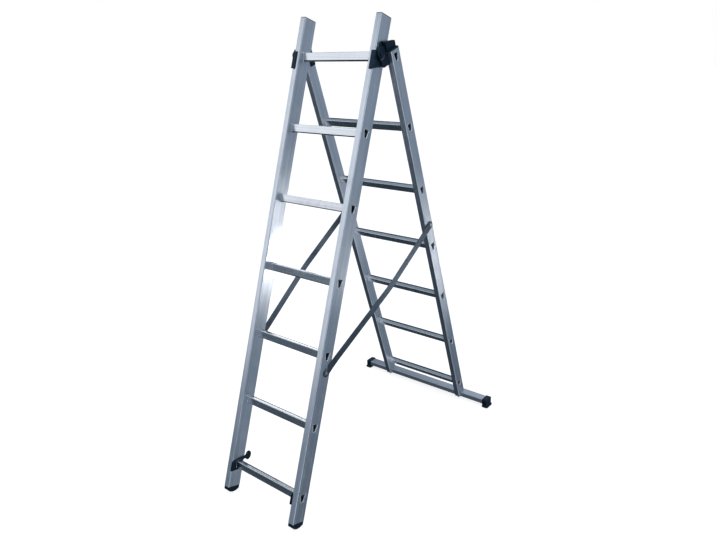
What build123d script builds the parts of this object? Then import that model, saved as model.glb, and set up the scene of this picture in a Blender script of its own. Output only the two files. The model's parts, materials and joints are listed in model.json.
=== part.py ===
# Combination ladder of two rung sections, standing open as a stepladder.
# The narrow front section slides in two guides that hinge on top of the wide rear section.
# X runs across the ladder, Y to the back and Z up from the floor. Sizes are in millimetres.
import os
from math import acos, atan, atan2, cos, degrees, hypot, radians, sin, sqrt

from build123d import *

os.makedirs("parts", exist_ok=True)

# Both sections
rung_pitch = 280.0
rung_count = 7
opening_angle = 37.2
stile_width = 26.0
stile_wall = 1.6
stile_corner = 3.0
side_gap = 6.0
nest_gap = 5.6

# Front section: stile lengths are measured from its lowest and highest rung
front_width = 396.0
front_depth = 64.0
front_tail = 98.0
front_head = 146.0

# Rear section
rear_depth = 52.0
rear_tail = 68.5
rear_head = 28.0

# Rungs: a grooved tread on top, sides that draw in to a narrow base, a swaged bead at each stile
rung_tread = 28.0
rung_base = 13.0
rung_height = 31.0
rung_corner = 2.0
rung_wall = 1.8
rung_fit = 0.15
bead_rise = 1.8
bead_length = 3.0
groove_count = 3
groove_pitch = 6.5
groove_width = 2.4
groove_depth = 0.6

# Front feet and top plugs
sole_radius = 45.0
foot_drop = 24.5
foot_plug = 35.0
tread_count = 5
tread_range = 52.0
tread_width = 3.0
tread_depth = 1.2
cap_flange = 2.5
cap_plug = 18.0
plug_fit = 0.2

# Hinge axis, from the top rung of each section and ahead of the front stiles' middle
hinge_over_front_rung = 4.0
hinge_over_rear_rung = 32.0
hinge_ahead = 12.0
pin_radius = 5.0
pin_fit = 0.05
pin_neck = 9.0
pin_end_gap = 0.3
pin_head_radius = 8.0
pin_head_height = 3.0

# Guides that hold the front stiles
guide_low_drop = 53.0
guide_high_rise = 14.0
guide_heel_rise = 30.0
guide_clearance = 0.4
guide_gap = 0.8
guide_front_lip = 3.6
guide_lip_cover = 15.0
guide_corner = 1.6
guide_boss_radius = 17.0
guide_lug_rise = 51.0
guide_lug_ahead = 3.0
guide_lug_width = 23.0

# Hinge brackets on the rear stiles, measured from the top of the stile
bracket_cap = 5.0
bracket_plug = 40.0
block_width = 14.0
block_back = 25.0
block_front = 33.0
block_low_rise = 26.0
block_high_rise = 39.0
ear_thickness = 8.0
ear_reach = 34.0
ear_drop = 46.0
boss_radius = 16.0
boss_length = 10.0
bracket_rivet_drop = 18.0

# Rung hooks at the foot of the front section, measured from the middle of the lowest rung
hook_thickness = 5.0
hook_front = 36.5
hook_front_low = 27.0
hook_front_high = 15.0
hook_back = 21.0
hook_back_low = 21.0
hook_back_high = 28.0
hook_corner = 3.0
hook_reach = 49.5
hook_rise = 28.5
hook_end_width = 29.0
hook_end_height = 38.0
hook_neck = 12.5
hook_neck_root = 15.0
hook_rivet_ahead = 25.5
hook_rivet_drop = 8.0
hook_rivet_behind = 25.0

# Rivets, whose heads and shanks are drawn with flats
rivet_radius = 2.5
rivet_head_radius = 4.5
rivet_head_height = 2.0
rivet_length = 10.0
rivet_fit = 0.1
head_sides = 12

# Braces: spring strips that pivot on the rear stiles and hook over studs on the front stiles
brace_width = 31.0
brace_thickness = 2.0
brace_pivot_rung = 4
brace_pivot_rise = 109.0
brace_pivot_back = 3.0
brace_stud_rung = 2
brace_stud_rise = 216.0
brace_stud_back = 8.0
brace_spacer = 3.2
brace_front_gap = 0.5
brace_run_gap = 0.3
brace_upper_bend = 350.0
brace_lower_bend = 55.0
brace_bend_radius = 900.0
brace_slot_angle = 35.1
brace_slot_gap = 0.8
stud_radius = 4.0
stud_head_radius = 7.5
stud_head_height = 2.0
stud_neck = 7.0
stud_neck_length = 6.0
stud_fit = 0.1
spacer_radius = 8.0

# Stabiliser under the rear section
bar_length = 752.0
bar_depth = 46.0
bar_height = 24.0
bar_wall = 2.0
bar_corner = 3.0
bar_setback = 16.0
bar_fit = 0.2
lap_lift = 4.0
pad_height = 17.0
shoe_wall = 3.0
shoe_grip = 24.0
shoe_corner = 4.0
pad_bulge = 6.0
pad_flare = 2.5
pad_thickness = 11.0
pad_chamfer = 2.5
bolt_radius = 4.0
bolt_fit = 0.25
bolt_head_radius = 8.0
bolt_head_height = 10.0
bolt_flange_radius = 10.0
bolt_flange_height = 2.5
bolt_setback = 2.0
bolt_reach = 30.0
stile_plug = 45.0

# Sizes that follow from the ones above
rung_levels = [index * rung_pitch for index in range(rung_count)]
top_rung = rung_levels[-1]
front_top = top_rung + front_head
rear_top = top_rung + rear_head
rear_width = front_width + 2 * (stile_width + side_gap)
front_hinge_level = top_rung + hinge_over_front_rung
rear_hinge_level = top_rung + hinge_over_rear_rung
rear_hinge_ahead = hinge_ahead + front_depth / 2 + rung_tread / 2 + nest_gap
foot_centre = sole_radius - foot_drop - front_tail
sole_flank = sqrt(sole_radius**2 - (front_depth / 2) ** 2)
bar_top = pad_height + bar_height
guide_rear_lip = nest_gap - bead_rise - guide_clearance - guide_gap
guide_wall = side_gap - guide_clearance - guide_gap
brace_pivot_level = rung_levels[brace_pivot_rung - 1] + brace_pivot_rise
brace_stud_level = rung_levels[brace_stud_rung - 1] + brace_stud_rise

# Lean of each section: the front soles and the stabiliser have to meet one floor
opening = radians(opening_angle)
front_leg = front_hinge_level - foot_centre
rear_leg = rear_hinge_level + rear_tail
cosine_part = front_leg - rear_leg * cos(opening) + rear_hinge_ahead * sin(opening)
sine_part = hinge_ahead - rear_leg * sin(opening) - rear_hinge_ahead * cos(opening)
height_part = (bar_top - sole_radius) / hypot(cosine_part, sine_part)
front_lean = atan2(sine_part, cosine_part) + acos(height_part)
rear_lean = opening - front_lean

# Hinge point, with the origin under the middle of the ladder's outline
hinge_height = sole_radius + front_leg * cos(front_lean) + hinge_ahead * sin(front_lean)
foot_back = (front_leg + sole_flank) * -sin(front_lean)
foot_back -= (front_depth / 2 - hinge_ahead) * cos(front_lean)
bar_back = rear_leg * sin(rear_lean) + rear_hinge_ahead * cos(rear_lean) + bar_setback
shoe_back = bar_back + bar_depth / 2 + shoe_wall + pad_flare
hinge = Vector(0, -(foot_back + shoe_back) / 2, hinge_height)
bar_middle = hinge.Y + bar_back


def section_plane(lean, hinge_level, ahead_of_middle):
    """Plane at a section's lowest rung: X across, Y to the back, Z up along the stiles."""
    up = Vector(0, sin(lean), cos(lean))
    ahead = Vector(0, -cos(lean), sin(lean))
    origin = hinge - up * hinge_level - ahead * ahead_of_middle
    return Plane(origin=origin, x_dir=(1, 0, 0), z_dir=up)


front = section_plane(front_lean, front_hinge_level, hinge_ahead)
rear = section_plane(-rear_lean, rear_hinge_level, rear_hinge_ahead)


def side_plane(section, x):
    """Plane square to X, drawn on as (distance back, height up the section)."""
    middle = section.from_local_coords((x, 0, 0))
    return Plane(origin=middle, x_dir=section.y_dir, z_dir=(1, 0, 0))


def cut_corners(width, depth, corner):
    """Rectangle with its corners cut off."""
    with BuildSketch() as outline:
        Rectangle(width, depth)
        chamfer(outline.vertices(), corner)
    return outline.sketch


def save(piece, name):
    """Label a finished piece and write it to its own file."""
    piece.part.label = name
    export_step(piece.part, f"parts/{name}.step")


# Rung outlines: the plain one, the hollow tube, the bead, and the openings that they need
with BuildSketch() as rung_outline:
    Polygon(
        (-rung_tread / 2, rung_height / 2),
        (rung_tread / 2, rung_height / 2),
        (rung_base / 2, -rung_height / 2),
        (-rung_base / 2, -rung_height / 2),
        align=None,
    )
    chamfer(rung_outline.vertices().group_by(Axis.Y)[-1], rung_corner)
with BuildSketch() as rung_hollow:
    add(rung_outline.sketch)
    offset(amount=-rung_wall, kind=Kind.INTERSECTION, mode=Mode.REPLACE)
with BuildSketch() as rung_tube:
    add(rung_outline.sketch)
    add(rung_hollow.sketch, mode=Mode.SUBTRACT)
    with Locations((0, rung_height / 2)):
        with GridLocations(groove_pitch, 0, groove_count, 1):
            Rectangle(groove_width, 2 * groove_depth, mode=Mode.SUBTRACT)
with BuildSketch() as rung_bead:
    add(rung_outline.sketch)
    offset(amount=bead_rise, kind=Kind.INTERSECTION, mode=Mode.REPLACE)
    add(rung_hollow.sketch, mode=Mode.SUBTRACT)
with BuildSketch() as rung_hole:
    add(rung_outline.sketch)
    offset(amount=rung_fit, kind=Kind.INTERSECTION, mode=Mode.REPLACE)
with BuildSketch() as bead_hole:
    add(rung_outline.sketch)
    offset(amount=bead_rise + rung_fit, kind=Kind.INTERSECTION, mode=Mode.REPLACE)


def stile_tube(section, centre, depth, low, high):
    """Draw a stile in the part being built: a box tube pierced by every rung."""
    with BuildSketch(section.offset(low)) as profile:
        with Locations((centre, 0)):
            RectangleRounded(stile_width, depth, stile_corner)
            Rectangle(stile_width - 2 * stile_wall, depth - 2 * stile_wall, mode=Mode.SUBTRACT)
    extrude(profile.sketch, amount=high - low)
    with BuildSketch(side_plane(section, centre)) as holes:
        with Locations([(0, level) for level in rung_levels]):
            add(rung_hole.sketch)
    extrude(holes.sketch, amount=stile_width, both=True, mode=Mode.SUBTRACT)


def stile_filler(section, centre, depth, low, length):
    """Draw a plug that fits inside a stile, from a height along it."""
    with BuildSketch(section.offset(low)) as profile:
        with Locations((centre, 0)):
            Rectangle(
                stile_width - 2 * (stile_wall + plug_fit), depth - 2 * (stile_wall + plug_fit)
            )
    extrude(profile.sketch, amount=length)


def make_rung(name, section, width, level):
    """A rung tube right through both stiles, swaged to a bead inside each of them."""
    with BuildPart() as rung:
        with BuildSketch(side_plane(section, -width / 2)):
            with Locations((0, level)):
                add(rung_tube.sketch)
        extrude(amount=width)
        for side in (-1, 1):
            with BuildSketch(side_plane(section, side * (width / 2 - stile_width))):
                with Locations((0, level)):
                    add(rung_bead.sketch)
            extrude(amount=-side * bead_length)
    save(rung, name)


for index, level in enumerate(rung_levels):
    make_rung(f"front_rung_{index + 1}", front, front_width, level)
    make_rung(f"rear_rung_{index + 1}", rear, rear_width, level)

front_centre = (front_width - stile_width) / 2
rear_centre = (rear_width - stile_width) / 2
front_inner = front_width / 2 - stile_width
rear_inner = rear_width / 2 - stile_width
bolt_y = bar_middle - bar_setback + bolt_setback
neck_slope = (hook_rise - hook_neck_root) / hook_reach
hook_rivets = [
    (-hook_rivet_ahead, -hook_rivet_drop),
    (hook_rivet_behind, hook_neck_root + hook_rivet_behind * neck_slope),
]


def front_stile(name, side):
    """Front stile with the openings for its brace stud and its hook rivets."""
    with BuildPart() as stile:
        stile_tube(front, side * front_centre, front_depth, -front_tail, front_top)
        with BuildSketch(side_plane(front, side * front_centre)):
            with Locations((brace_stud_back, brace_stud_level)):
                Rectangle(stud_neck + 2 * stud_fit, stud_neck + 2 * stud_fit)
        extrude(amount=side * stile_width, mode=Mode.SUBTRACT)
        with BuildSketch(side_plane(front, side * front_centre)):
            with Locations(hook_rivets):
                RegularPolygon(rivet_radius + rivet_fit, head_sides)
        extrude(amount=-side * stile_width, mode=Mode.SUBTRACT)
    save(stile, name)


def rivet_plane(side):
    """Plane on the back of a rear stile where the rivet of its hinge bracket goes in."""
    middle = rear.from_local_coords(
        (side * rear_centre, rear_depth / 2, rear_top - bracket_rivet_drop)
    )
    return Plane(origin=middle, x_dir=(1, 0, 0), z_dir=rear.y_dir)


def rear_stile(name, side):
    """Rear stile, notched at the bottom so that it sits on the stabiliser and laps its front."""
    bar_front = bar_middle - bar_depth / 2
    with BuildPart() as stile:
        stile_tube(rear, side * rear_centre, rear_depth, -rear_tail - 2 * bar_top, rear_top)
        with BuildSketch(Plane.YZ.offset(side * rear_centre)):
            with Locations((bar_front - bar_fit, bar_top)):
                Rectangle(rear_depth * 2, bar_top * 2, align=(Align.MIN, Align.MAX))
            with Locations((bar_middle, pad_height + lap_lift)):
                Rectangle(rear_depth * 4, bar_top * 2, align=(Align.CENTER, Align.MAX))
        extrude(amount=stile_width, both=True, mode=Mode.SUBTRACT)
        with BuildSketch(side_plane(rear, side * rear_centre)):
            with Locations((brace_pivot_back, brace_pivot_level)):
                Rectangle(stud_neck + 2 * stud_fit, stud_neck + 2 * stud_fit)
        extrude(amount=side * stile_width, mode=Mode.SUBTRACT)
        with BuildSketch(rivet_plane(side)):
            RegularPolygon(rivet_radius + rivet_fit, head_sides)
        extrude(amount=-rivet_length, mode=Mode.SUBTRACT)
    save(stile, name)


def front_foot(name, side):
    """Rubber foot: a round grooved sole under the stile and a plug inside it."""
    half = front_depth / 2
    corner_level = foot_centre - sole_flank
    with BuildPart() as foot:
        with BuildSketch(side_plane(front, side * front_centre)):
            with BuildLine():
                Polyline(
                    (-half, corner_level), (-half, -front_tail), (half, -front_tail), (half, corner_level)
                )
                RadiusArc((half, corner_level), (-half, corner_level), sole_radius)
            make_face()
        extrude(amount=stile_width / 2, both=True)
        upright = Axis(front.origin, front.z_dir)
        chamfer(foot.edges().filter_by(upright), stile_corner)
        with BuildSketch(side_plane(front, side * front_centre)):
            with Locations((0, foot_centre)):
                with PolarLocations(
                    sole_radius, tread_count, 270 - tread_range / 2, tread_range, endpoint=True
                ):
                    Rectangle(2 * tread_depth, tread_width)
        extrude(amount=stile_width, both=True, mode=Mode.SUBTRACT)
        stile_filler(front, side * front_centre, front_depth, -front_tail, foot_plug)
    save(foot, name)


def top_plug(name, side):
    """Plastic plug that closes the top of a front stile."""
    with BuildPart() as plug:
        with BuildSketch(front.offset(front_top)):
            with Locations((side * front_centre, 0)):
                add(cut_corners(stile_width, front_depth, stile_corner))
        extrude(amount=cap_flange)
        stile_filler(front, side * front_centre, front_depth, front_top, -cap_plug)
    save(plug, name)


def rung_hook(name, side):
    """Hook plate round the lowest rung, with a neck and a round end that drops over a rear rung."""
    neck_middle = (hook_reach / 2, (hook_neck_root + hook_rise) / 2)
    with BuildPart() as hook:
        with BuildSketch(side_plane(front, side * front_inner)) as plate:
            Polygon(
                (-hook_front, -hook_front_low),
                (hook_back, -hook_back_low),
                (hook_back, hook_back_high),
                (-hook_front, hook_front_high),
                align=None,
            )
            chamfer(plate.vertices(), hook_corner)
            with Locations(neck_middle):
                Rectangle(hook_reach, hook_neck, rotation=degrees(atan(neck_slope)))
            with Locations((hook_reach, hook_rise)):
                Ellipse(hook_end_width / 2, hook_end_height / 2)
            add(bead_hole.sketch, mode=Mode.SUBTRACT)
            with Locations(hook_rivets):
                RegularPolygon(rivet_radius + rivet_fit, head_sides, mode=Mode.SUBTRACT)
        extrude(amount=-side * hook_thickness)
    save(hook, name)


def guide(name, side):
    """Channel round a front stile, open to the inside, with the hinge boss and a lug on its wall."""
    inside = front_width / 2 + guide_clearance
    half = front_depth / 2 + guide_clearance
    low = top_rung - guide_low_drop
    outer = inside + guide_wall
    lip_edge = front_width / 2 - guide_lip_cover
    with BuildPart() as channel:
        with BuildSketch(front.offset(low)) as section:
            with Locations((side * (outer + lip_edge) / 2, (guide_rear_lip - guide_front_lip) / 2)):
                add(
                    cut_corners(
                        outer - lip_edge, 2 * half + guide_front_lip + guide_rear_lip, guide_corner
                    )
                )
            with Locations((side * (inside - front_width / 2), 0)):
                Rectangle(front_width, 2 * half, mode=Mode.SUBTRACT)
        extrude(amount=guide_low_drop + guide_high_rise)
        with BuildSketch(side_plane(front, side * inside)):
            Polygon(
                (-half - guide_front_lip, low),
                (half + guide_rear_lip, low),
                (half + guide_rear_lip, low + guide_heel_rise),
                align=None,
            )
        extrude(amount=front_width / 2, both=True, mode=Mode.SUBTRACT)
        with BuildSketch(side_plane(front, side * inside)):
            with Locations((-hinge_ahead, front_hinge_level)):
                Circle(guide_boss_radius)
            lug_top = front_hinge_level + guide_lug_rise - guide_lug_width / 2
            lug_centre = (-guide_lug_ahead, (front_hinge_level + lug_top) / 2)
            SlotCenterPoint(lug_centre, (-guide_lug_ahead, lug_top), guide_lug_width)
        extrude(amount=side * guide_wall)
        with BuildSketch(side_plane(front, side * inside)):
            with Locations((-hinge_ahead, front_hinge_level)):
                Rectangle(pin_neck + 2 * pin_fit, pin_neck + 2 * pin_fit)
        extrude(amount=side * guide_wall, mode=Mode.SUBTRACT)
    save(channel, name)


def hinge_bracket(name, side):
    """Moulded bracket on top of a rear stile, reaching ahead to the hinge boss."""
    centre = side * rear_centre
    boss_middle = (-rear_hinge_ahead, rear_hinge_level)
    with BuildPart() as bracket:
        with BuildSketch(rear.offset(rear_top)):
            with Locations((centre, 0)):
                add(cut_corners(stile_width, rear_depth, stile_corner))
        extrude(amount=bracket_cap)
        stile_filler(rear, centre, rear_depth, rear_top, -bracket_plug)
        with BuildSketch(side_plane(rear, centre)):
            with Locations((0, top_rung)):
                add(rung_hole.sketch)
        extrude(amount=stile_width, both=True, mode=Mode.SUBTRACT)
        with BuildSketch(side_plane(rear, side * rear_inner)) as block:
            Polygon(
                (block_back, rear_top + bracket_cap / 2),
                (block_back, rear_top + block_low_rise),
                (-block_front, rear_top + block_high_rise),
                (-block_front, rear_top + bracket_cap / 2),
                align=None,
            )
            chamfer(block.vertices().group_by(Axis.Y)[1:], stile_corner)
        extrude(amount=side * block_width)
        with BuildSketch(side_plane(rear, side * rear_inner)):
            with Locations(boss_middle):
                Circle(boss_radius)
            with Locations((-rear_depth / 2, rear_top - ear_drop)):
                Rectangle(ear_reach, ear_drop + block_low_rise, align=(Align.MAX, Align.MIN))
            make_hull()
        extrude(amount=side * ear_thickness)
        with BuildSketch(side_plane(rear, side * rear_inner)):
            with Locations(boss_middle):
                Circle(boss_radius)
        extrude(amount=side * boss_length)
        with BuildSketch(side_plane(rear, side * rear_inner)):
            with Locations(boss_middle):
                Circle(pin_radius + pin_fit)
        extrude(amount=side * stile_width, mode=Mode.SUBTRACT)
        with BuildSketch(rivet_plane(side)):
            RegularPolygon(rivet_radius + rivet_fit, head_sides)
        extrude(amount=-rivet_length, mode=Mode.SUBTRACT)
    save(bracket, name)


def hinge_pin(name, side):
    """Headed pin: square in the guide, round where it turns in the boss of the hinge bracket."""
    start = front_width / 2 + guide_clearance
    end = rear_inner + boss_length + pin_end_gap
    middle = (-rear_hinge_ahead, rear_hinge_level)
    with BuildPart() as pin:
        with BuildSketch(side_plane(front, side * start)):
            with Locations((-hinge_ahead, front_hinge_level)):
                Rectangle(pin_neck, pin_neck)
        extrude(amount=side * guide_wall)
        with BuildSketch(side_plane(rear, side * (start + guide_wall))):
            with Locations(middle):
                Circle(pin_radius)
        extrude(amount=side * (end - start - guide_wall))
        with BuildSketch(side_plane(rear, side * end)):
            with Locations(middle):
                RegularPolygon(pin_head_radius, head_sides)
        extrude(amount=side * pin_head_height)
    save(pin, name)


brace_pivot = rear.from_local_coords((0, brace_pivot_back, brace_pivot_level))
brace_stud = front.from_local_coords((0, brace_stud_back, brace_stud_level))
brace_length = (brace_stud - brace_pivot).length
brace_line = (brace_stud - brace_pivot).normalized()


def brace(name, side):
    """Strip bent in from the rear stile to the front stile, with an open slot for the stud."""
    upper_x = rear_width / 2 + brace_spacer + brace_run_gap
    lower_x = front_width / 2 + brace_front_gap
    edge_points = [
        (-brace_width, upper_x),
        (brace_upper_bend, upper_x),
        (brace_length - brace_lower_bend, lower_x),
        (brace_length + brace_width, lower_x),
    ]
    face_points = [(along, out + brace_thickness) for along, out in edge_points]
    slot_radius = stud_radius + brace_slot_gap
    with BuildPart() as strip:
        edge_normal = brace_line.cross(Vector(side, 0, 0))
        with BuildSketch(Plane(origin=brace_pivot, x_dir=brace_line, z_dir=edge_normal)):
            with BuildLine():
                near = FilletPolyline(*edge_points, radius=brace_bend_radius)
                far = FilletPolyline(*face_points, radius=brace_bend_radius)
                Line(near @ 0, far @ 0)
                Line(near @ 1, far @ 1)
            make_face()
        extrude(amount=brace_width, both=True)
        with BuildSketch(Plane(origin=brace_pivot, x_dir=brace_line, z_dir=(-1, 0, 0))):
            with Locations((brace_length / 2, 0)):
                SlotCenterToCenter(brace_length, brace_width)
            Circle(stud_radius + stud_fit, mode=Mode.SUBTRACT)
            with Locations((brace_length, 0)):
                Circle(slot_radius, mode=Mode.SUBTRACT)
                Rectangle(
                    2 * brace_width,
                    2 * slot_radius,
                    rotation=180 - brace_slot_angle,
                    align=(Align.MIN, Align.CENTER),
                    mode=Mode.SUBTRACT,
                )
        extrude(amount=rear_width, both=True, mode=Mode.INTERSECT)
    save(strip, name)


def brace_rivet(name, side):
    """Square-necked rivet in a rear stile, with a spacer, that carries the brace's upper end."""
    face = rear_width / 2
    middle = (brace_pivot_back, brace_pivot_level)
    shank = brace_thickness + 2 * brace_run_gap
    with BuildPart() as rivet:
        with BuildSketch(side_plane(rear, side * face)):
            with Locations(middle):
                Rectangle(stud_neck, stud_neck)
        extrude(amount=-side * stud_neck_length)
        with BuildSketch(side_plane(rear, side * face)):
            with Locations(middle):
                RegularPolygon(spacer_radius, head_sides)
        extrude(amount=side * brace_spacer)
        with BuildSketch(side_plane(rear, side * (face + brace_spacer))):
            with Locations(middle):
                Circle(stud_radius)
        extrude(amount=side * shank)
        with BuildSketch(side_plane(rear, side * (face + brace_spacer + shank))):
            with Locations(middle):
                RegularPolygon(stud_head_radius, head_sides)
        extrude(amount=side * stud_head_height)
    save(rivet, name)


def brace_hook_stud(name, side):
    """Square-necked stud in a front stile, with the head that the brace hooks behind."""
    face = front_width / 2
    middle = (brace_stud_back, brace_stud_level)
    shank = brace_front_gap + brace_thickness + brace_run_gap
    with BuildPart() as stud:
        with BuildSketch(side_plane(front, side * face)):
            with Locations(middle):
                Rectangle(stud_neck, stud_neck)
        extrude(amount=-side * stud_neck_length)
        with BuildSketch(side_plane(front, side * face)):
            with Locations(middle):
                Circle(stud_radius)
        extrude(amount=side * shank)
        with BuildSketch(side_plane(front, side * (face + shank))):
            with Locations(middle):
                RegularPolygon(stud_head_radius, head_sides)
        extrude(amount=side * stud_head_height)
    save(stud, name)


def stile_seat_plug(name, side):
    """Block inside the foot of a rear stile that takes the stabiliser's bolt."""
    with BuildPart() as plug:
        stile_filler(rear, side * rear_centre, rear_depth, -rear_tail - rear_depth, rear_depth + stile_plug)
        split(bisect_by=Plane.XY.offset(bar_top), keep=Keep.TOP)
        with BuildSketch(Plane.XY):
            with Locations((side * rear_centre, bolt_y)):
                RegularPolygon(bolt_radius + bolt_fit, head_sides)
        extrude(amount=bar_top + bolt_reach + bolt_fit, mode=Mode.SUBTRACT)
    save(plug, name)


def stabiliser_shoe(name, side):
    """End shoe: a cup over the end of the bar on a wider pad that stands on the floor."""
    end = side * bar_length / 2
    cup_depth = bar_depth + 2 * shoe_wall
    cup_height = bar_height + 2 * shoe_wall
    pad_length = shoe_grip + shoe_wall + pad_bulge
    with BuildPart() as shoe:
        with BuildSketch(Plane.XY):
            with Locations((end + side * (pad_length / 2 - shoe_grip), bar_middle)):
                add(cut_corners(pad_length, cup_depth + 2 * pad_flare, 2 * shoe_corner))
        extrude(amount=pad_thickness)
        chamfer(shoe.faces().sort_by(Axis.Z)[-1].edges(), pad_chamfer)
        with BuildSketch(Plane.YZ.offset(end - side * shoe_grip)):
            with Locations((bar_middle, bar_top + shoe_wall - cup_height / 2)):
                add(cut_corners(cup_depth, cup_height, shoe_corner))
            with Locations((bar_middle, pad_height / 2)):
                Rectangle(cup_depth - 2 * shoe_corner, pad_height)
        extrude(amount=side * (shoe_grip + shoe_wall))
        with BuildSketch(Plane.YZ.offset(end + side * bar_fit)):
            with Locations((bar_middle, bar_top - bar_height / 2)):
                add(cut_corners(bar_depth + 2 * bar_fit, bar_height + 2 * bar_fit, bar_fit))
        extrude(amount=-side * 2 * shoe_grip, mode=Mode.SUBTRACT)
    save(shoe, name)


sides = {"left": -1, "right": 1}
for side_name, side in sides.items():
    front_stile(f"front_stile_{side_name}", side)
    rear_stile(f"rear_stile_{side_name}", side)
    front_foot(f"front_foot_{side_name}", side)
    top_plug(f"front_top_plug_{side_name}", side)
    rung_hook(f"rung_hook_{side_name}", side)
    guide(f"guide_{side_name}", side)
    hinge_bracket(f"hinge_bracket_{side_name}", side)
    hinge_pin(f"hinge_pin_{side_name}", side)
    brace(f"brace_{side_name}", side)
    brace_rivet(f"brace_rivet_{side_name}", side)
    brace_hook_stud(f"brace_stud_{side_name}", side)
    stile_seat_plug(f"stile_seat_plug_{side_name}", side)
    stabiliser_shoe(f"stabiliser_shoe_{side_name}", side)

# Rivets that hold the hook plates to the front stiles
with BuildPart() as hook_rivet_set:
    for side in sides.values():
        with BuildSketch(side_plane(front, side * (front_inner - hook_thickness))):
            with Locations(hook_rivets):
                RegularPolygon(rivet_head_radius, head_sides)
        extrude(amount=-side * rivet_head_height)
        with BuildSketch(side_plane(front, side * (front_inner - hook_thickness))):
            with Locations(hook_rivets):
                RegularPolygon(rivet_radius, head_sides)
        extrude(amount=side * rivet_length)
save(hook_rivet_set, "hook_rivets")

# Rivets that hold the hinge brackets in the rear stiles
with BuildPart() as bracket_rivet_set:
    for side in sides.values():
        with BuildSketch(rivet_plane(side)):
            RegularPolygon(rivet_head_radius, head_sides)
        extrude(amount=rivet_head_height)
        with BuildSketch(rivet_plane(side)):
            RegularPolygon(rivet_radius, head_sides)
        extrude(amount=-rivet_length)
save(bracket_rivet_set, "bracket_rivets")

# Stabiliser bar, with a bolt hole under each rear stile
bolt_places = [(side * rear_centre, bolt_y) for side in sides.values()]
with BuildPart() as bar:
    with BuildSketch(Plane.YZ.offset(-bar_length / 2)):
        with Locations((bar_middle, bar_top - bar_height / 2)):
            RectangleRounded(bar_depth, bar_height, bar_corner)
            Rectangle(bar_depth - 2 * bar_wall, bar_height - 2 * bar_wall, mode=Mode.SUBTRACT)
    extrude(amount=bar_length)
    with BuildSketch(Plane.XY):
        with Locations(bolt_places):
            RegularPolygon(bolt_radius + bolt_fit, head_sides)
    extrude(amount=2 * bar_top, mode=Mode.SUBTRACT)
save(bar, "stabiliser_bar")

# Bolts from under the bar into the rear stiles
with BuildPart() as bolts:
    with BuildSketch(Plane.XY.offset(pad_height)):
        with Locations(bolt_places):
            RegularPolygon(bolt_flange_radius, head_sides)
    extrude(amount=-bolt_flange_height)
    with BuildSketch(Plane.XY.offset(pad_height)):
        with Locations(bolt_places):
            RegularPolygon(bolt_head_radius, 6)
    extrude(amount=-bolt_head_height)
    with BuildSketch(Plane.XY.offset(pad_height)):
        with Locations(bolt_places):
            RegularPolygon(bolt_radius, head_sides)
    extrude(amount=bar_height + bolt_reach)
save(bolts, "stabiliser_bolts")

print("front lean", degrees(front_lean), "rear lean", degrees(rear_lean))
print("hinge axis at", hinge.Y, hinge.Z)
print("brace pivot at", brace_pivot.Y, brace_pivot.Z, "brace stud at", brace_stud.Y, brace_stud.Z)
print("brace length", brace_length, "bar middle", bar_middle)
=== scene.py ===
# %% [markdown]
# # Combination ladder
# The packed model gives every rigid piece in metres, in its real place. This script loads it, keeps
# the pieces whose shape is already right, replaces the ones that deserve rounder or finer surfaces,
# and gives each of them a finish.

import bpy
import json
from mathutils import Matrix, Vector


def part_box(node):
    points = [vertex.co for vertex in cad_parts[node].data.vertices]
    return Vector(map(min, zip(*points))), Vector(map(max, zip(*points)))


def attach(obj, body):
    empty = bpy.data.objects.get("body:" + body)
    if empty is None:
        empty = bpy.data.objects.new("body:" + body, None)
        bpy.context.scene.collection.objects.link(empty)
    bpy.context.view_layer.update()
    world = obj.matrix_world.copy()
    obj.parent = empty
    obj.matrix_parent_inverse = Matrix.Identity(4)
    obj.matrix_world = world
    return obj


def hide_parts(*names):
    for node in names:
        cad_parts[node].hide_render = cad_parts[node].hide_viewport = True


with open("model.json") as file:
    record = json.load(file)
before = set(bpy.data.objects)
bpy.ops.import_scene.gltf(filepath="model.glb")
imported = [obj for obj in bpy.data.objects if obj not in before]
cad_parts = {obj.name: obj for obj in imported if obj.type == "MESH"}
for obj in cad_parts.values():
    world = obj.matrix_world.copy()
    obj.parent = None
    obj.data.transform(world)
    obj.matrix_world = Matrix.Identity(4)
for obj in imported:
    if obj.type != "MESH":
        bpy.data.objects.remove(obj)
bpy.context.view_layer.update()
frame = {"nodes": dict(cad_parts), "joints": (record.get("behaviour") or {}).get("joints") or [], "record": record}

import json

import bmesh
import bpy
import numpy as np
from mathutils import Matrix

nodes = frame["nodes"]
bodies = frame["record"]["behaviour"]["bodies"]
rides_on = {node: body for body, members in bodies.items() for node in members}

# %% [markdown]
# ## The two leaning sections
# The ladder is two flat sections that lean against each other at a hinge. Everything on a section is
# easiest to describe across it, towards its back and up along its stiles, so each section gets its own
# origin at the middle of its lowest rung and three directions. The front section's lean is the
# direction in which it slides, and the rear one follows from the angle through which they fold.

# %% Directions of the front and the rear section
MM = 0.001
joints = {joint["name"]: joint for joint in frame["joints"]}
hinge = np.array(joints["fold"]["pos_m"])
slide = joints["extend"]["axis"]
front_lean = np.arctan2(slide[1], slide[2])
rear_lean = front_lean - np.radians(joints["fold"]["range_deg"][1])


class Section:
    """Origin and directions of one ladder section, for points given in millimetres."""

    def __init__(self, lean, hinge_level, hinge_ahead):
        """The origin is the hinge, moved down the section by its level and back by how far it is ahead."""
        self.lean = lean
        self.back = np.array([0, np.cos(lean), -np.sin(lean)])
        self.up = np.array([0, np.sin(lean), np.cos(lean)])
        self.origin = hinge - self.up * hinge_level * MM + self.back * hinge_ahead * MM

    def place(self, across, back, up):
        """Origin plus across times X, back times the section's back and up times its up."""
        across, back, up = np.broadcast_arrays(across, back, up)
        turned = back[..., None] * self.back + up[..., None] * self.up
        turned[..., 0] += across
        return self.origin + turned * MM


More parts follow.
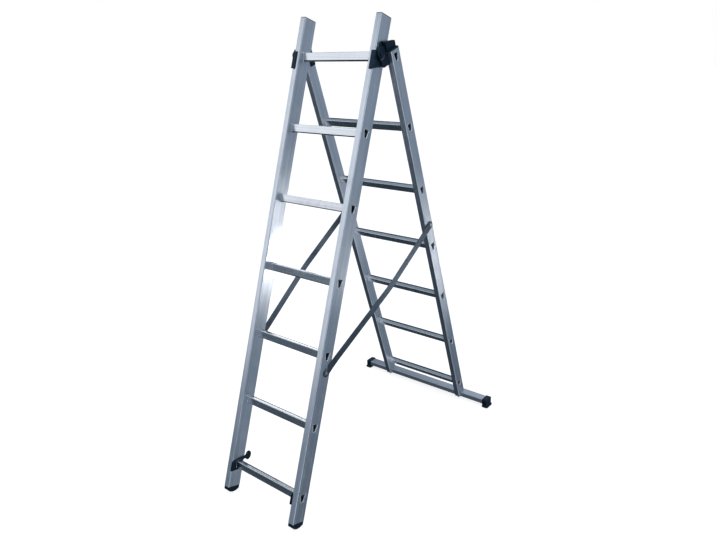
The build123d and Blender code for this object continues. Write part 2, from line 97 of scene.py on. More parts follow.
REAR_HINGE_LEVEL, REAR_HINGE_AHEAD = 1712.0, 63.6
front = Section(front_lean, hinge_level=1684.0, hinge_ahead=12.0)
rear = Section(rear_lean, REAR_HINGE_LEVEL, REAR_HINGE_AHEAD)
print("front leans", np.degrees(front.lean), "rear leans", np.degrees(rear.lean))

# %% [markdown]
# ## Camera
# The photograph was taken from the front right of the ladder, a little higher than its hinge. The camera
# below was solved from the edges of the stiles and the ends of the rungs: a lens of about 32 mm on a
# 36 mm sensor, looking down by 20 degrees and rolled by 2 degrees. Its place is given from the hinge.


# %% Camera at the photograph's viewing angle
def stand(name, data, place, right, above, ahead):
    """Camera or lamp at a place: its own X runs to the right, its own Y above and its own -Z ahead."""
    made = bpy.data.objects.new(name, data)
    bpy.context.scene.collection.objects.link(made)
    matrix = np.eye(4)
    matrix[:3, :3] = np.column_stack([right, above, -np.asarray(ahead)])
    matrix[:3, 3] = place
    made.matrix_world = Matrix(matrix.tolist())
    return made


camera_data = bpy.data.cameras.new("camera")
camera_data.lens = 32.351
camera_data.sensor_width = 36.0
camera_place = hinge + np.array([1663.82, -1956.39, 61.33]) * MM
bpy.context.scene.camera = stand(
    "camera",
    camera_data,
    camera_place,
    right=(0.78242, 0.62191, -0.03233),
    above=(-0.18795, 0.28531, 0.93982),
    ahead=(-0.59372, 0.72926, -0.34012),
)
print("camera at", camera_place.round(3))

# %% [markdown]
# ## Floor
# The photograph is cut out on white, so the ladder stands on one large plain sheet, nearly white, with
# a faint shadow. Bare metal would mirror such a floor, but in the photograph the faces that look down
# are dark. So the floor is there for the eye and for shadows only, and is left out of reflections and
# of bounced light.

# %% Pale floor
floor_mesh = bpy.data.meshes.new("floor")
reach = 30.0
floor_mesh.from_pydata(
    [(-reach, -reach, 0), (reach, -reach, 0), (reach, reach, 0), (-reach, reach, 0)], [], [(0, 1, 2, 3)]
)
floor = bpy.data.objects.new("floor", floor_mesh)
bpy.context.scene.collection.objects.link(floor)
floor.visible_glossy = False
floor.visible_diffuse = False
print("floor is", 2 * reach, "m wide")

# %% [markdown]
# ## A short way to write shader maths
# A finish is a sum of simple patterns. The class below stands for one socket, so that patterns can be
# added and multiplied as plain expressions, and every other node comes from its one node method.


# %% Sockets that can be added and multiplied
class Paint:
    """One socket of a node tree: arithmetic on it adds Math nodes to the tree."""

    def __init__(self, tree, socket=None):
        self.tree = tree
        self.socket = socket

    def node(self, kind, settings=None, inputs=None, output=0):
        """Add a node: its settings first, then a number, colour or link for each socket."""
        made = self.tree.nodes.new(kind)
        for name, value in (settings or {}).items():
            if name == "stops":
                ramp = made.color_ramp.elements
                for index, (place, colour) in enumerate(value):
                    stop = ramp[index] if index < 2 else ramp.new(place)
                    stop.position = place
                    stop.color = (*colour, 1.0)
            else:
                setattr(made, name, value)
        for name, value in (inputs or {}).items():
            if isinstance(value, Paint):
                self.tree.links.new(value.socket, made.inputs[name])
            else:
                made.inputs[name].default_value = value
        return Paint(self.tree, made.outputs[output])

    def maths(self, operation, first, second):
        """First and second value, joined by one operation of a Math node."""
        return self.node("ShaderNodeMath", {"operation": operation}, {0: first, 1: second})

    def __add__(self, other):
        return self.maths("ADD", self, other)

    __radd__ = __add__

    def __sub__(self, other):
        return self.maths("SUBTRACT", self, other)

    def __rsub__(self, other):
        return self.maths("SUBTRACT", other, self)

    def __mul__(self, other):
        return self.maths("MULTIPLY", self, other)

    __rmul__ = __mul__

    def band(self, low, high):
        """0 below low, 1 above high and a smooth step between them."""
        return self.node(
            "ShaderNodeMapRange",
            {"interpolation_type": "SMOOTHSTEP"},
            {"Value": self, "From Min": low, "From Max": high},
        )

    def noise(self, scale, detail=3.0, stretch=(1.0, 1.0, 1.0), turn=0.0):
        """Soft noise on this vector, drawn out along each direction by its stretch."""
        moved = self.node(
            "ShaderNodeMapping",
            {"vector_type": "TEXTURE"},
            {"Vector": self, "Rotation": (turn, 0.0, 0.0), "Scale": stretch},
        )
        return self.node("ShaderNodeTexNoise", None, {"Vector": moved, "Scale": scale, "Detail": detail})

    def bump(self, strength, distance):
        """Normal of a surface that this value raises by a distance in metres."""
        return self.node("ShaderNodeBump", None, {"Strength": strength, "Distance": distance, "Height": self})

    def blend(self, low, high, mode="MIX"):
        """Colour that goes from low to high as this value goes from 0 to 1, or to low plus high with ADD."""
        settings = {"data_type": "RGBA", "blend_type": mode}
        return self.node("ShaderNodeMix", settings, {0: self, 6: low, 7: high}, output=2)


print("a socket can", [name for name in vars(Paint) if not name.startswith("_")])

# %% [markdown]
# ## Finishes
# A finish is a material with one main shader. Its patterns are drawn on the point of the surface, so
# they need no unwrapping and run on evenly from face to face. A second helper links a pattern to a
# socket of the shader, or sets a plain number where the value is the same all over.


# %% New material and its sockets
def new_finish(name):
    """Material with its main shader, and the point of the surface as a vector to draw patterns on."""
    material = bpy.data.materials.new(name)
    material.use_nodes = True
    point = Paint(material.node_tree).node("ShaderNodeTexCoord", output="Object")
    return material, material.node_tree.nodes["Principled BSDF"], point


def feed(shader, **sockets):
    """Link each pattern to the shader's socket of that name, or set its number or colour."""
    for name, value in sockets.items():
        socket = shader.inputs[name.replace("_", " ")]
        if isinstance(value, Paint):
            value.tree.links.new(value.socket, socket)
        else:
            socket.default_value = value


floor_finish, shader, point = new_finish("studio_floor")
feed(shader, Base_Color=point.noise(0.7).blend((0.54, 0.53, 0.52, 1), (0.56, 0.55, 0.54, 1)), Roughness=0.9)
feed(shader, Specular_IOR_Level=0.0, Emission_Color=(1.0, 0.99, 0.98, 1), Emission_Strength=0.82)
floor_mesh.materials.append(floor_finish)
print("floor wears", floor_finish.name)

# %% [markdown]
# ## Sky
# Bare aluminium has hardly any colour of its own: it shows what is around it. So much of the light is a
# sky that the metal mirrors, while the camera sees plain white behind the ladder. Its brightness runs in
# bands from a dark, bluish base to a brighter ceiling. A photograph of a room would do as well, but a
# ramp of a few colours is easier to adjust, one band at a time.

# %% Bands of the sky
bpy.context.scene.view_settings.view_transform = "Standard"
world = bpy.data.worlds.new("studio")
bpy.context.scene.world = world
world.use_nodes = True
sky = Paint(world.node_tree)
direction = sky.node("ShaderNodeTexCoord", output="Generated")
across, deep, height = [
    sky.node("ShaderNodeSeparateXYZ", None, {0: direction}, output=axis) for axis in range(3)
]
share = height * 0.4 + across * 0.22 - deep * 0.10 + 0.5
bands = [
    (0.08, (0.029, 0.042, 0.056)),
    (0.92, (0.35, 0.42, 0.50)),
    (0.29, (0.052, 0.072, 0.095)),
    (0.355, (0.135, 0.175, 0.225)),
    (0.42, (0.24, 0.30, 0.38)),
    (0.49, (0.165, 0.215, 0.275)),
    (0.57, (0.31, 0.38, 0.47)),
    (0.66, (0.20, 0.25, 0.31)),
]
glow = share.node("ShaderNodeValToRGB", {"stops": bands}, {"Fac": share})
print("sky of", len(bands), "bands")

# %% [markdown]
# ## Lights in the sky
# In the photograph some faces are brighter than the bands alone would make them. So round patches of
# light are added in the directions that the lower treads, the top of the bar and the rungs' upper edges
# mirror. A strip at the right draws bright lines along edges of the stiles, and lights the left ends of
# the rear rungs. Lamps could do all this too, but each of them would also cast shadows.


# %% Patches and strip of the sky
def patch(under, turn, rise, inner, outer, colour):
    """Add a round light at a compass turn from the back and a rise, in degrees: full up to the inner
    angle from its middle, and gone from the outer angle on."""
    turn, rise, inner, outer = np.radians([turn, rise, inner, outer])
    east, north, top = np.sin(turn) * np.cos(rise), np.cos(turn) * np.cos(rise), np.sin(rise)
    facing = across * float(east) + deep * float(north) + height * float(top)
    amount = facing.band(float(np.cos(outer)), float(np.cos(inner)))
    return amount.blend(under, (*colour, 1), "ADD")


patches = {
    "lower treads": (-41, -7, 10, 14, (1.7, 1.75, 1.8)),
    "top of the bar": (-10, 33, 6, 22, (0.68, 0.70, 0.74)),
    "upper edges of the rungs": (-92, 32, 6, 18, (2.6, 2.7, 2.8)),
}
for numbers in patches.values():
    glow = patch(glow, *numbers)
sideways = deep - across * 0.09
strip = (1 - (sideways * sideways).band(0.008, 0.035)) * across.band(0.4, 0.8)
glow = strip.blend(glow, (1.6, 1.64, 1.68, 1), "ADD")
shown = sky.node("ShaderNodeLightPath", output="Is Camera Ray").blend(glow, (1.0, 1.0, 1.0, 1))
world.node_tree.links.new(shown.socket, world.node_tree.nodes["Background"].inputs["Color"])
print("patches for the", ", the ".join(patches))

# %% [markdown]
# ## Lamps
# A wide lamp at the front left lights the front faces of the front stiles and the upper rungs, and one
# overhead is a faint fill. Two narrow lamps stand low at the back right. The first makes the left front
# stile almost white half-way up, as it is in the photograph. It also brightens the braces and the middle
# of both right stiles. The second adds a little to the right rear stile. A sun lamp would be simpler,
# but it would light the whole length of a stile alike.


# %% Wide and narrow lamps
def lamp(name, kind, place, aim, power, **settings):
    """Lamp at a place that looks at a point: its X is level, at right angles to the way it looks."""
    data = bpy.data.lights.new(name, kind)
    data.energy = power
    for setting, value in settings.items():
        setattr(data, setting, value)
    ahead = np.subtract(aim, place)
    ahead = ahead / np.linalg.norm(ahead)
    side = np.cross(ahead, [0, 0, 1])
    side = side / np.linalg.norm(side)
    stand(name, data, place, side, np.cross(side, ahead), ahead)


wide = {"shape": "RECTANGLE"}
narrow = {"spot_size": np.radians(16.0), "spot_blend": 1.0, "shadow_soft_size": 0.2}
lamp("key_lamp", "AREA", (-1.9, -2.5, 2.0), (0, -0.3, 1.1), 14.5, **wide, size=2.4, size_y=2.9)
lamp("top_lamp", "AREA", (0.6, -0.6, 4.2), (0, 0, 0.9), 12.0, **wide, size=2.0, size_y=2.0)
lamp("left_stile_lamp", "SPOT", (1.62, 1.36, 0.24), (-0.31, -0.215, 0.955), 31.0, **narrow)
lamp("rear_stile_lamp", "SPOT", (1.55, 2.41, 0.34), (0.23, 0.30, 0.95), 3.0, **narrow)

# %% [markdown]
# ## Extruded aluminium
# Stiles and rungs are pushed through a die and left as they come out: a satin bluish-grey skin with
# fine lines along the length, faint cloudy oxide and a few handling marks. Noise that is stretched more
# than a hundredfold along the length makes the lines, and turning it by the lean keeps it along the
# stile. Where a mesh carries an amount of painted shade, the metal is painted darker there.


# %% Aluminium of the stiles and the rungs
def aluminium(name, stretch, lean, tint, rough, painted_shade=""):
    """Metal with lines along one direction, cloudy oxide, smudges, and painted shade where an attribute tells."""
    material, shader, point = new_finish(name)
    lines = point.noise(900.0, 2.0, stretch, -lean)
    streaks = point.noise(95.0, 3.0, stretch, -lean)
    threads = point.noise(300.0, 2.0, stretch, -lean)
    clouds = point.noise(9.0, 4.0)
    smudges = point.noise(38.0, 5.0).band(0.52, 0.72)
    tone = clouds.band(0.3, 0.7) * 0.25 + streaks.band(0.38, 0.62) * 0.40 + threads.band(0.38, 0.62) * 0.35
    dull = [channel * 0.74 for channel in tint]
    colour = tone.blend((*dull, 1), (*tint, 1))
    # Painted shade: where the attribute says, the metal colour is blended towards a near-black blue.
    if painted_shade:
        shade_amount = point.node("ShaderNodeAttribute", {"attribute_name": painted_shade}, output="Fac")
        colour = shade_amount.blend(colour, (0.045, 0.06, 0.075, 1))
    roughness = rough + 0.10 * streaks + 0.08 * smudges
    feed(shader, Base_Color=colour, Metallic=1.0, Roughness=roughness, Normal=lines.bump(0.06, 0.0004))
    return material


SIDES = {"left": -1, "right": 1}
SHADE_ATTRIBUTE = "groove_grime"
along_stile, along_rung = (1.0, 1.0, 160.0), (160.0, 1.0, 1.0)
stile_tint, rung_tint, bar_tint = (0.83, 0.86, 0.91), (0.95, 0.96, 0.98), (0.63, 0.66, 0.71)
tubes = {}
for section, title in ((front, "front"), (rear, "rear")):
    finish = aluminium(f"stile_aluminium_{title}", along_stile, section.lean, stile_tint, 0.28)
    tubes.update({f"{title}_stile_{side}": finish for side in SIDES})
# The rungs carry painted shade in the tread's grooves and channel and along their lower edge.
rung_finish = aluminium("rung_aluminium", along_rung, 0.0, rung_tint, 0.15, SHADE_ATTRIBUTE)
tubes["stabiliser_bar"] = aluminium("stabiliser_aluminium", along_rung, 0.0, bar_tint, 0.26)
for node, finish in tubes.items():
    nodes[node].material_slots[0].material = finish
print("aluminium on", len(tubes), "tubes")

# %% [markdown]
# ## Plastic and rubber
# Brackets, guides, hooks, plugs and shoes are moulded black plastic: a fine spark-eroded grain with a
# bluish gloss, and a greyer bloom in soft patches. The guides rub along the stiles, so theirs is
# stronger. The bead under the hinge is light grey, a painted highlight. The feet are a duller rubber. One recipe
# makes all four, with its own colours, gloss and size of grain.


# %% Black plastic and rubber
def moulded(name, dark, bloom_tone, rough, grain):
    """Moulded surface: fine grain in the relief, and a greyer bloom in soft patches."""
    material, shader, point = new_finish(name)
    pits = point.noise(grain, 2.0)
    bloom = point.noise(45.0, 4.0).band(0.45, 0.75)
    colour = (bloom * 0.7 + pits * 0.3).blend((*dark, 1), (*bloom_tone, 1))
    feed(shader, Base_Color=colour, Roughness=rough + 0.16 * bloom, Normal=pits.bump(0.25, 0.0003))
    feed(shader, Specular_IOR_Level=0.42, Specular_Tint=(0.40, 0.74, 1.0, 1))
    return material


plastic_finish = moulded("black_plastic", (0.003, 0.008, 0.015), (0.009, 0.019, 0.031), 0.46, 900.0)
guide_finish = moulded("guide_plastic", (0.003, 0.010, 0.018), (0.026, 0.050, 0.074), 0.46, 900.0)
# Painted highlight: the bead under each hinge is light grey, so that it shows as a light line.
highlight_rim_finish = moulded("painted_highlight_plastic", (0.14, 0.16, 0.18), (0.26, 0.28, 0.30), 0.40, 900.0)
rubber_finish = moulded("foot_rubber", (0.003, 0.007, 0.011), (0.010, 0.018, 0.025), 0.62, 600.0)
print("mouldings", [finish.name for finish in (plastic_finish, guide_finish, highlight_rim_finish, rubber_finish)])

# %% [markdown]
# ## Steel
# The braces are dark passivated steel strip. Their pivots, the rivets of the brackets and the bolts are
# bright zinc. Both have a cloudy tone: the strip in patches of a few centimetres, the plating in finer
# ones. So one recipe with a different size of patch makes both.


# %% Brace steel and zinc
def strip_steel(name, tint, rough, cloud_scale):
    """Rolled or plated steel with soft patches in its tone and gloss, and fine specks in its relief."""
    material, shader, point = new_finish(name)
    clouds = point.noise(cloud_scale, 4.0)
    specks = point.noise(700.0, 2.0)
    dull = [channel * 0.7 for channel in tint]
    colour = clouds.band(0.3, 0.7).blend((*dull, 1), (*tint, 1))
    feed(shader, Base_Color=colour, Metallic=1.0, Roughness=rough + 0.2 * clouds)
    feed(shader, Normal=specks.bump(0.08, 0.0003))
    return material


brace_finish = strip_steel("brace_steel", (0.135, 0.165, 0.20), 0.36, 30.0)
zinc_finish = strip_steel("bright_steel", (0.80, 0.81, 0.82), 0.24, 120.0)
print("steels", brace_finish.name, zinc_finish.name)

# %% [markdown]
# ## From arrays to pieces
# A piece is a grid of points: each row is a closed ring, and neighbouring rings are joined by quads. The
# first helper makes the mesh, closes its two ends unless the last ring meets the first, turns the
# normals outwards and keeps only real corners sharp. The others join small meshes, and hang a finished
# mesh on the body of the packed node that it stands for. Ready cylinders and cubes could be pushed into
# shape instead, but a formula for the rings says exactly what each of them does.


# %% Mesh helpers
def skin(name, rings, loop=False, sharp=40.0):
    """Quads between the points i, i+1 of each ring and the same points of the next ring."""
    rows, columns, _ = rings.shape
    here = np.arange(rows * columns).reshape(rows, columns)
    if loop:
        here = np.vstack([here, here[:1]])
    beside = np.roll(here, -1, axis=1)
    quads = np.stack([here[:-1], beside[:-1], beside[1:], here[1:]], axis=-1).reshape(-1, 4)
    faces = quads.tolist()
    if not loop:
        faces += [here[0, ::-1].tolist(), here[-1].tolist()]
    mesh = bpy.data.meshes.new(name)
    mesh.from_pydata(rings.reshape(-1, 3).tolist(), [], faces)
    work = bmesh.new()
    work.from_mesh(mesh)
    bmesh.ops.recalc_face_normals(work, faces=work.faces)
    work.to_mesh(mesh)
    work.free()
    mesh.shade_smooth()
    mesh.set_sharp_from_angle(angle=np.radians(sharp))
    return mesh


def join(name, meshes):
    """One mesh from several that belong to one packed node."""
    work = bmesh.new()
    for mesh in meshes:
        work.from_mesh(mesh)
    made = bpy.data.meshes.new(name)
    work.to_mesh(made)
    work.free()
    made.set_sharp_from_angle(angle=np.radians(40.0))
    return made


def fit(name, mesh, finish, node):
    """Object that stands for a packed node and rides on its body, with a finish."""
    piece = bpy.data.objects.new(name, mesh)
    bpy.context.scene.collection.objects.link(piece)
    mesh.materials.clear()
    mesh.materials.append(finish)
    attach(piece, rides_on[node])
    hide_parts(node)
    return piece


print("pieces can ride on", sorted(set(rides_on.values())))

# %% [markdown]
# ## Outlines
# Rungs and plates start from a flat outline. It is easiest to give its corners and let a helper put an
# arc on each. Another one spreads points along the outline as densely as each stretch needs, and a
# third tells which way is outwards, so that an outline can be pushed in or out.


# %% Rounded outlines
def rounded(corners, radius, steps):
    """Round polygon: at each corner, an arc of its radius about a centre on the inward bisector that
    touches both edges."""
    corners = np.asarray(corners, float)
    radius = np.broadcast_to(radius, len(corners))
    to_last = np.roll(corners, 1, axis=0) - corners
    to_next = np.roll(corners, -1, axis=0) - corners
    to_last /= np.linalg.norm(to_last, axis=1, keepdims=True)
    to_next /= np.linalg.norm(to_next, axis=1, keepdims=True)
    half = np.arccos(np.sum(to_last * to_next, axis=1)) / 2
    inward = to_last + to_next
    inward /= np.linalg.norm(inward, axis=1, keepdims=True)
    centres = corners + inward * (radius / np.sin(half))[:, None]
    outward = np.arctan2(-inward[:, 1], -inward[:, 0])
    angles = outward[:, None] + np.linspace(-1, 1, steps) * (np.pi / 2 - half)[:, None]
    turns = np.stack([np.cos(angles), np.sin(angles)], axis=-1)
    return (centres[:, None, :] + radius[:, None, None] * turns).reshape(-1, 2)


def resample(outline, places):
    """Points at given shares of the outline's length, by straight interpolation between its points."""
    closed = np.vstack([outline, outline[:1]])
    length = np.concatenate([[0], np.cumsum(np.linalg.norm(np.diff(closed, axis=0), axis=1))])
    return np.stack([np.interp(places, length / length[-1], closed[:, axis]) for axis in (0, 1)], axis=-1)


def outward_of(outline):
    """Unit normal of a closed outline: its direction of travel, turned by a quarter to the right."""
    along = np.roll(outline, -1, axis=0) - np.roll(outline, 1, axis=0)
    normal = np.stack([along[:, 1], -along[:, 0]], axis=-1)
    return normal / np.linalg.norm(normal, axis=1, keepdims=True)


half_tread, half_base, half_height = 14.0, 6.5, 15.5
tread_corner, base_corner = 2.0, 4.5
wedge = rounded(
    [
        (half_tread, half_height),
        (-half_tread, half_height),
        (-half_base, -half_height),
        (half_base, -half_height),
    ],
    (tread_corner, tread_corner, base_corner, base_corner),
    steps=9,
)
print("rung section has", len(wedge), "points")

# %% [markdown]
# ## Section of a rung
# A rung is a hollow extrusion with a wedge section, wider at its tread than below. The tread has two
# faint grooves and a wide channel near its back edge. That channel and the lower edge are darkened with
# painted shade. So every point of the section also gets a number that tells how much painted shade it
# carries, and the tread gets more points than the rest. A painted picture would do too, but it would need
# unwrapping.

# %% Grooves and painted shade
tread_from, tread_to = 0.03, 0.28
shares = np.concatenate(
    [
        np.linspace(0, tread_from, 6, endpoint=False),
        np.linspace(tread_from, tread_to, 84, endpoint=False),
        np.linspace(tread_to, 1, 110, endpoint=False),
    ]
)
rung_line = resample(wedge, shares)
rung_normal = outward_of(rung_line)
groove_slope = 0.4
grooves = np.zeros(len(rung_line))
for middle, half_groove, depth in ((-6.5, 1.2, 0.14), (0.0, 1.2, 0.14), (7.4, 3.8, 0.9)):
    inside = half_groove - np.abs(rung_line[:, 0] - middle)
    grooves += depth * np.clip(inside / groove_slope, 0, 1)
on_tread = rung_line[:, 1] > half_height - 0.01
grooves *= on_tread
# Painted shade: rising to full below -12.3 mm at the lower edge, and in the grooves and channel in step with their
# depth.
shade_below, shade_over = -12.3, 0.6
lower_edge_shade = np.clip((shade_below - rung_line[:, 1]) / shade_over, 0, 1)
shade_share = np.maximum(grooves / grooves.max(), lower_edge_shade)
print("rung outline has", len(rung_line), "points, grooves up to", grooves.max().round(2), "mm")

# %% [markdown]
# ## Along a rung
# A rung goes right through both stiles: a bead is swaged against the inside of each stile, and the ends
# are opened out into a small lip, which is why the photograph shows dark wedge-shaped holes with a
# bright rim. So the section is carried along the outside, round the lip at one end, back inside the
# wall and round the other lip to where it began, and it is pushed in or out at each station.

# %% Seven rungs in each section
STILE_WIDTH = 26.0
FRONT_HALF_WIDTH, REAR_HALF_WIDTH = 198.0, 230.0
bead_length, bead_rise, rung_wall = 3.1, 1.75, 1.8
middle_station = 40.0
# Distances from the inner face of the stile
plain_station, groove_end, wall_station = 4.4, 3.3, 20.0


def rung_rings(section, half_width, level, lip):
    """Rings at stations along the rung, each the outline pushed along its normal and then groove-cut, and
    the painted shade at the same points. The bead's push is half an ellipse."""
    inner_face = half_width - STILE_WIDTH
    swell = np.linspace(0, 1, 11)
    bead_x = inner_face - bead_length + bead_length * swell
    bead_push = bead_rise * np.sqrt(np.clip(1 - (2 * swell - 1) ** 2, 0, 1))
    lip_x = lip * np.array([0.6, 0.95, 1.0, 0.6])
    end_x = half_width + np.concatenate([[-1.6, -0.2, 0.02], lip_x, [-0.5, -1.4, -2.8, -5.0]])
    end_push = np.array([0.0, 0.0, 2.3, 2.1, 1.5, 0.7, 0.0, -0.7, -1.2, -1.6, -rung_wall])
    first_x = [middle_station, inner_face - plain_station]
    last_x = [inner_face - wall_station, middle_station]
    run_x = np.concatenate([first_x, bead_x, end_x, last_x])
    run_push = np.concatenate([[0.0, 0.0], bead_push, end_push, [-rung_wall, -rung_wall]])
    run_cut = (run_x < inner_face - groove_end) * (run_push >= 0)
    last = len(run_x) - 3

    def both_ends(run, sign):
        """All but the last two stations mirrored, the run itself, and those two mirrored."""
        return np.concatenate([sign * run[last::-1], run, sign * run[:last:-1]])

    station_x, push = both_ends(run_x, -1), both_ends(run_push, 1)[:, None]
    cut = both_ends(run_cut, 1)[:, None]
    back = rung_line[:, 0] + push * rung_normal[:, 0]
    up = rung_line[:, 1] + push * rung_normal[:, 1] - cut * grooves
    return section.place(station_x[:, None], back, level + up), cut * shade_share


rung_pitch, rung_count = 280.0, 7
widths_and_lips = ((front, "front", FRONT_HALF_WIDTH, 0.25), (rear, "rear", REAR_HALF_WIDTH, 0.6))
for index in range(rung_count):
    for section, title, half_width, lip in widths_and_lips:
        node = f"{title}_rung_{index + 1}"
        rings, painted_shade = rung_rings(section, half_width, rung_pitch * index, lip)
        mesh = skin(node + "_tube", rings, loop=True, sharp=55.0)
        # The painted shade of each point is stored in a point attribute that the rung finish reads.
        mesh.attributes.new(SHADE_ATTRIBUTE, "FLOAT", "POINT").data.foreach_set("value", painted_shade.ravel())
        fit(node + "_tube", mesh, rung_finish, node)
print("rungs of", len(mesh.polygons), "faces each")

# %% [markdown]
# ## Moulded pieces
# Hinge brackets, guides, rung hooks, plugs and feet have their shapes in the packed solids, and so have
# the bent braces. A moulding never has knife edges, so each gets a merged copy with a bevel on every
# sharp edge. Modelling them again would add nothing but the risk of a different shape.


# %% Rounded mouldings and braces
def soften(node, finish, slot, width, segments):
    """Merged copy of a packed solid with its edges rounded by a bevel of that width in millimetres."""
    mesh = nodes[node].data.copy()
    work = bmesh.new()
    work.from_mesh(mesh)
    bmesh.ops.remove_doubles(work, verts=work.verts, dist=1e-5)
    bmesh.ops.dissolve_limit(work, angle_limit=np.radians(1.0), verts=work.verts, edges=work.edges)
    work.to_mesh(mesh)
    work.free()
    mesh.shade_smooth()
    mesh.set_sharp_from_angle(angle=np.radians(40.0))
    bevel = fit(node + "_soft", mesh, finish, node).modifiers.new("edges", "BEVEL")
    bevel.width = width * MM
    bevel.segments = segments
    bevel.limit_method = "ANGLE"
    bevel.angle_limit = np.radians(35.0)
    bevel.harden_normals = True


softened = {
    "hinge_bracket": (plastic_finish, "black_plastic", 2.0, 3),
    "guide": (guide_finish, "black_plastic", 1.2, 3),
    "rung_hook": (plastic_finish, "black_plastic", 0.8, 3),
    "front_top_plug": (plastic_finish, "black_plastic", 0.6, 3),
    "front_foot": (rubber_finish, "foot_rubber", 1.0, 3),
    "brace": (brace_finish, "brace_steel", 0.4, 2),
}
for side in SIDES:
    for title, settings in softened.items():
        soften(f"{title}_{side}", *settings)
    nodes[f"stile_seat_plug_{side}"].material_slots[0].material = plastic_finish
print("rounded", len(SIDES) * len(softened), "mouldings and strips")

# %% [markdown]
# ## Details of the hinge brackets
# Two details of the brackets show in the photograph as a light line and a dark patch. Under the hinge a
# light grey bead, a painted highlight, runs round the lower back of the boss: a small circle carried along an arc.
# And a tongue comes down on the inner face of the rear stile, passes behind the top rung and ends in a foot below
# it.
# It is made of two flat plates, whose rims are drawn in so that they catch the light.


# %% Bead under each hinge boss, and tongue behind each top rung
def rim_rings(side, radius, thick, start, end):
    """Bead under the boss: a circle of half its thickness about each point of an arc round the hinge,
    half sunk in the bracket's ear. Towards both ends it thins by the root of one minus an eighth power."""
    ear_face, steps = 212.0, 48
    turn = np.radians(np.linspace(start, end, steps))[:, None]
    around = np.linspace(0, 2 * np.pi, 16, endpoint=False)
    taper = np.sqrt(np.clip(1 - np.linspace(-1, 1, steps) ** 8, 0.02, 1))[:, None]
    half = thick / 2 * taper
    distance = radius + half * np.cos(around)
    back, up = distance * np.cos(turn), distance * np.sin(turn)
    across = side * (ear_face + half * np.sin(around))
    return rear.place(across, back - REAR_HINGE_AHEAD, up + REAR_HINGE_LEVEL)


def plate(name, side, low, high, thick):
    """Rounded plate on the inner face of a rear stile: its outline, drawn in towards the top of its rim."""
    inner_face, corner, edge = REAR_HALF_WIDTH - STILE_WIDTH, 2.5, 0.6
    outline = rounded([high, (low[0], high[1]), low, (high[0], low[1])], corner, steps=6)
    normal = outward_of(outline)
    rise = np.array([-1.0, thick - edge, thick - 0.3 * edge, thick])[:, None]
    inset = np.array([0.0, 0.0, 0.3 * edge, edge])[:, None]
    back, up = (outline[:, axis] - inset * normal[:, axis] for axis in (0, 1))
    return skin(name, rear.place(side * (inner_face - rise), back, up), sharp=60.0)


for name, side in SIDES.items():
    node = f"hinge_bracket_{name}"
    foot = plate("tongue_foot", side, (-4.0, 1643.0), (25.0, 1661.5), thick=2.2)
    neck = plate("tongue_neck", side, (16.6, 1646.0), (25.0, 1708.6), thick=2.0)
    tongue = join(f"bracket_tongue_{name}", [foot, neck])
    fit(f"bracket_tongue_{name}", tongue, plastic_finish, node)
    # The bead wears the light grey of a painted highlight.
    rim = skin(f"bracket_rim_{name}", rim_rings(side, radius=18.4, thick=3.0, start=246.0, end=338.0))
    fit(f"bracket_rim_{name}", rim, highlight_rim_finish, node)
print("beads of", len(rim.polygons), "faces and tongues of", len(tongue.polygons))

# %% [markdown]
# ## Stabiliser shoes
# Each end of the stabiliser wears a plastic shoe: a cup round the bar, a waist, and a pad below that
# bulges outwards and stands on the floor. From above, every level of it is a rounded rectangle, so the
# shoe is a stack of such rectangles whose size and middle change with height. A row of the table gives
# the height, half the depth, the inner and the outer end from the end of the bar, and the corner radius.

# %% Shoes as stacked rounded rectangles
bar_low, bar_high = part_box("stabiliser_bar")
bar_middle = (bar_low.y + bar_high.y) / 2 / MM
bar_end = bar_high.x / MM
shoe_levels = np.array(
    [
        (0.0, 24.6, -22.0, 4.6, 6.5),
        (0.7, 26.8, -23.2, 7.2, 7.5),
        (2.4, 28.2, -23.9, 8.7, 8.0),
        (5.0, 28.5, -24.0, 9.0, 8.0),
        (8.0, 28.1, -24.0, 8.5, 8.0),
        (10.2, 27.0, -24.0, 7.0, 7.5),
        (11.6, 25.6, -24.0, 4.4, 6.5),
        (12.6, 24.9, -24.0, 2.4, 6.0),
        (13.6, 24.8, -24.0, 1.9, 6.0),
        (14.8, 25.5, -24.0, 2.5, 5.0),
        (16.4, 26.0, -24.0, 3.0, 4.5),
        (40.4, 26.0, -24.0, 3.0, 4.5),
        (42.4, 25.4, -24.0, 2.4, 5.0),
        (43.5, 24.2, -23.4, 1.2, 5.0),
        (44.0, 22.4, -22.0, -0.6, 5.0),
    ]
)


def shoe_rings(side, points=64):
    """Rounded rectangle at each level: its corner arcs, moved out to that level's half sizes."""
    level, half_depth, inside, outside, corner = shoe_levels.T[:, :, None]
    turn = np.linspace(0, 2 * np.pi, points, endpoint=False) + np.pi / points
    sign_x, sign_y = np.sign(np.cos(turn)), np.sign(np.sin(turn))
    half_length = (outside - inside) / 2
    along = (outside + inside) / 2 + sign_x * (half_length - corner) + corner * np.cos(turn)
    deep = sign_y * (half_depth - corner) + corner * np.sin(turn)
    return MM * np.stack(np.broadcast_arrays(side * (bar_end + along), bar_middle + deep, level), axis=-1)


for name, side in SIDES.items():
    node = f"stabiliser_shoe_{name}"
    fit(node + "_moulding", skin(node, shoe_rings(side), sharp=50.0), plastic_finish, node)
print("shoes reach", (bar_end + shoe_levels[:, 3].max()).round(1), "mm from the middle")

# %% [markdown]
# ## Rivets and bolts
# Every fastener is turned: a profile of radius against height that is carried round an axis. A domed
# head is a quarter of an ellipse. The bolts under the stabiliser have a hexagon over a round flange, and
# its radius swells towards the corners. A third number in a row of a profile says that this row has
# flats, and how far out its corners may go.


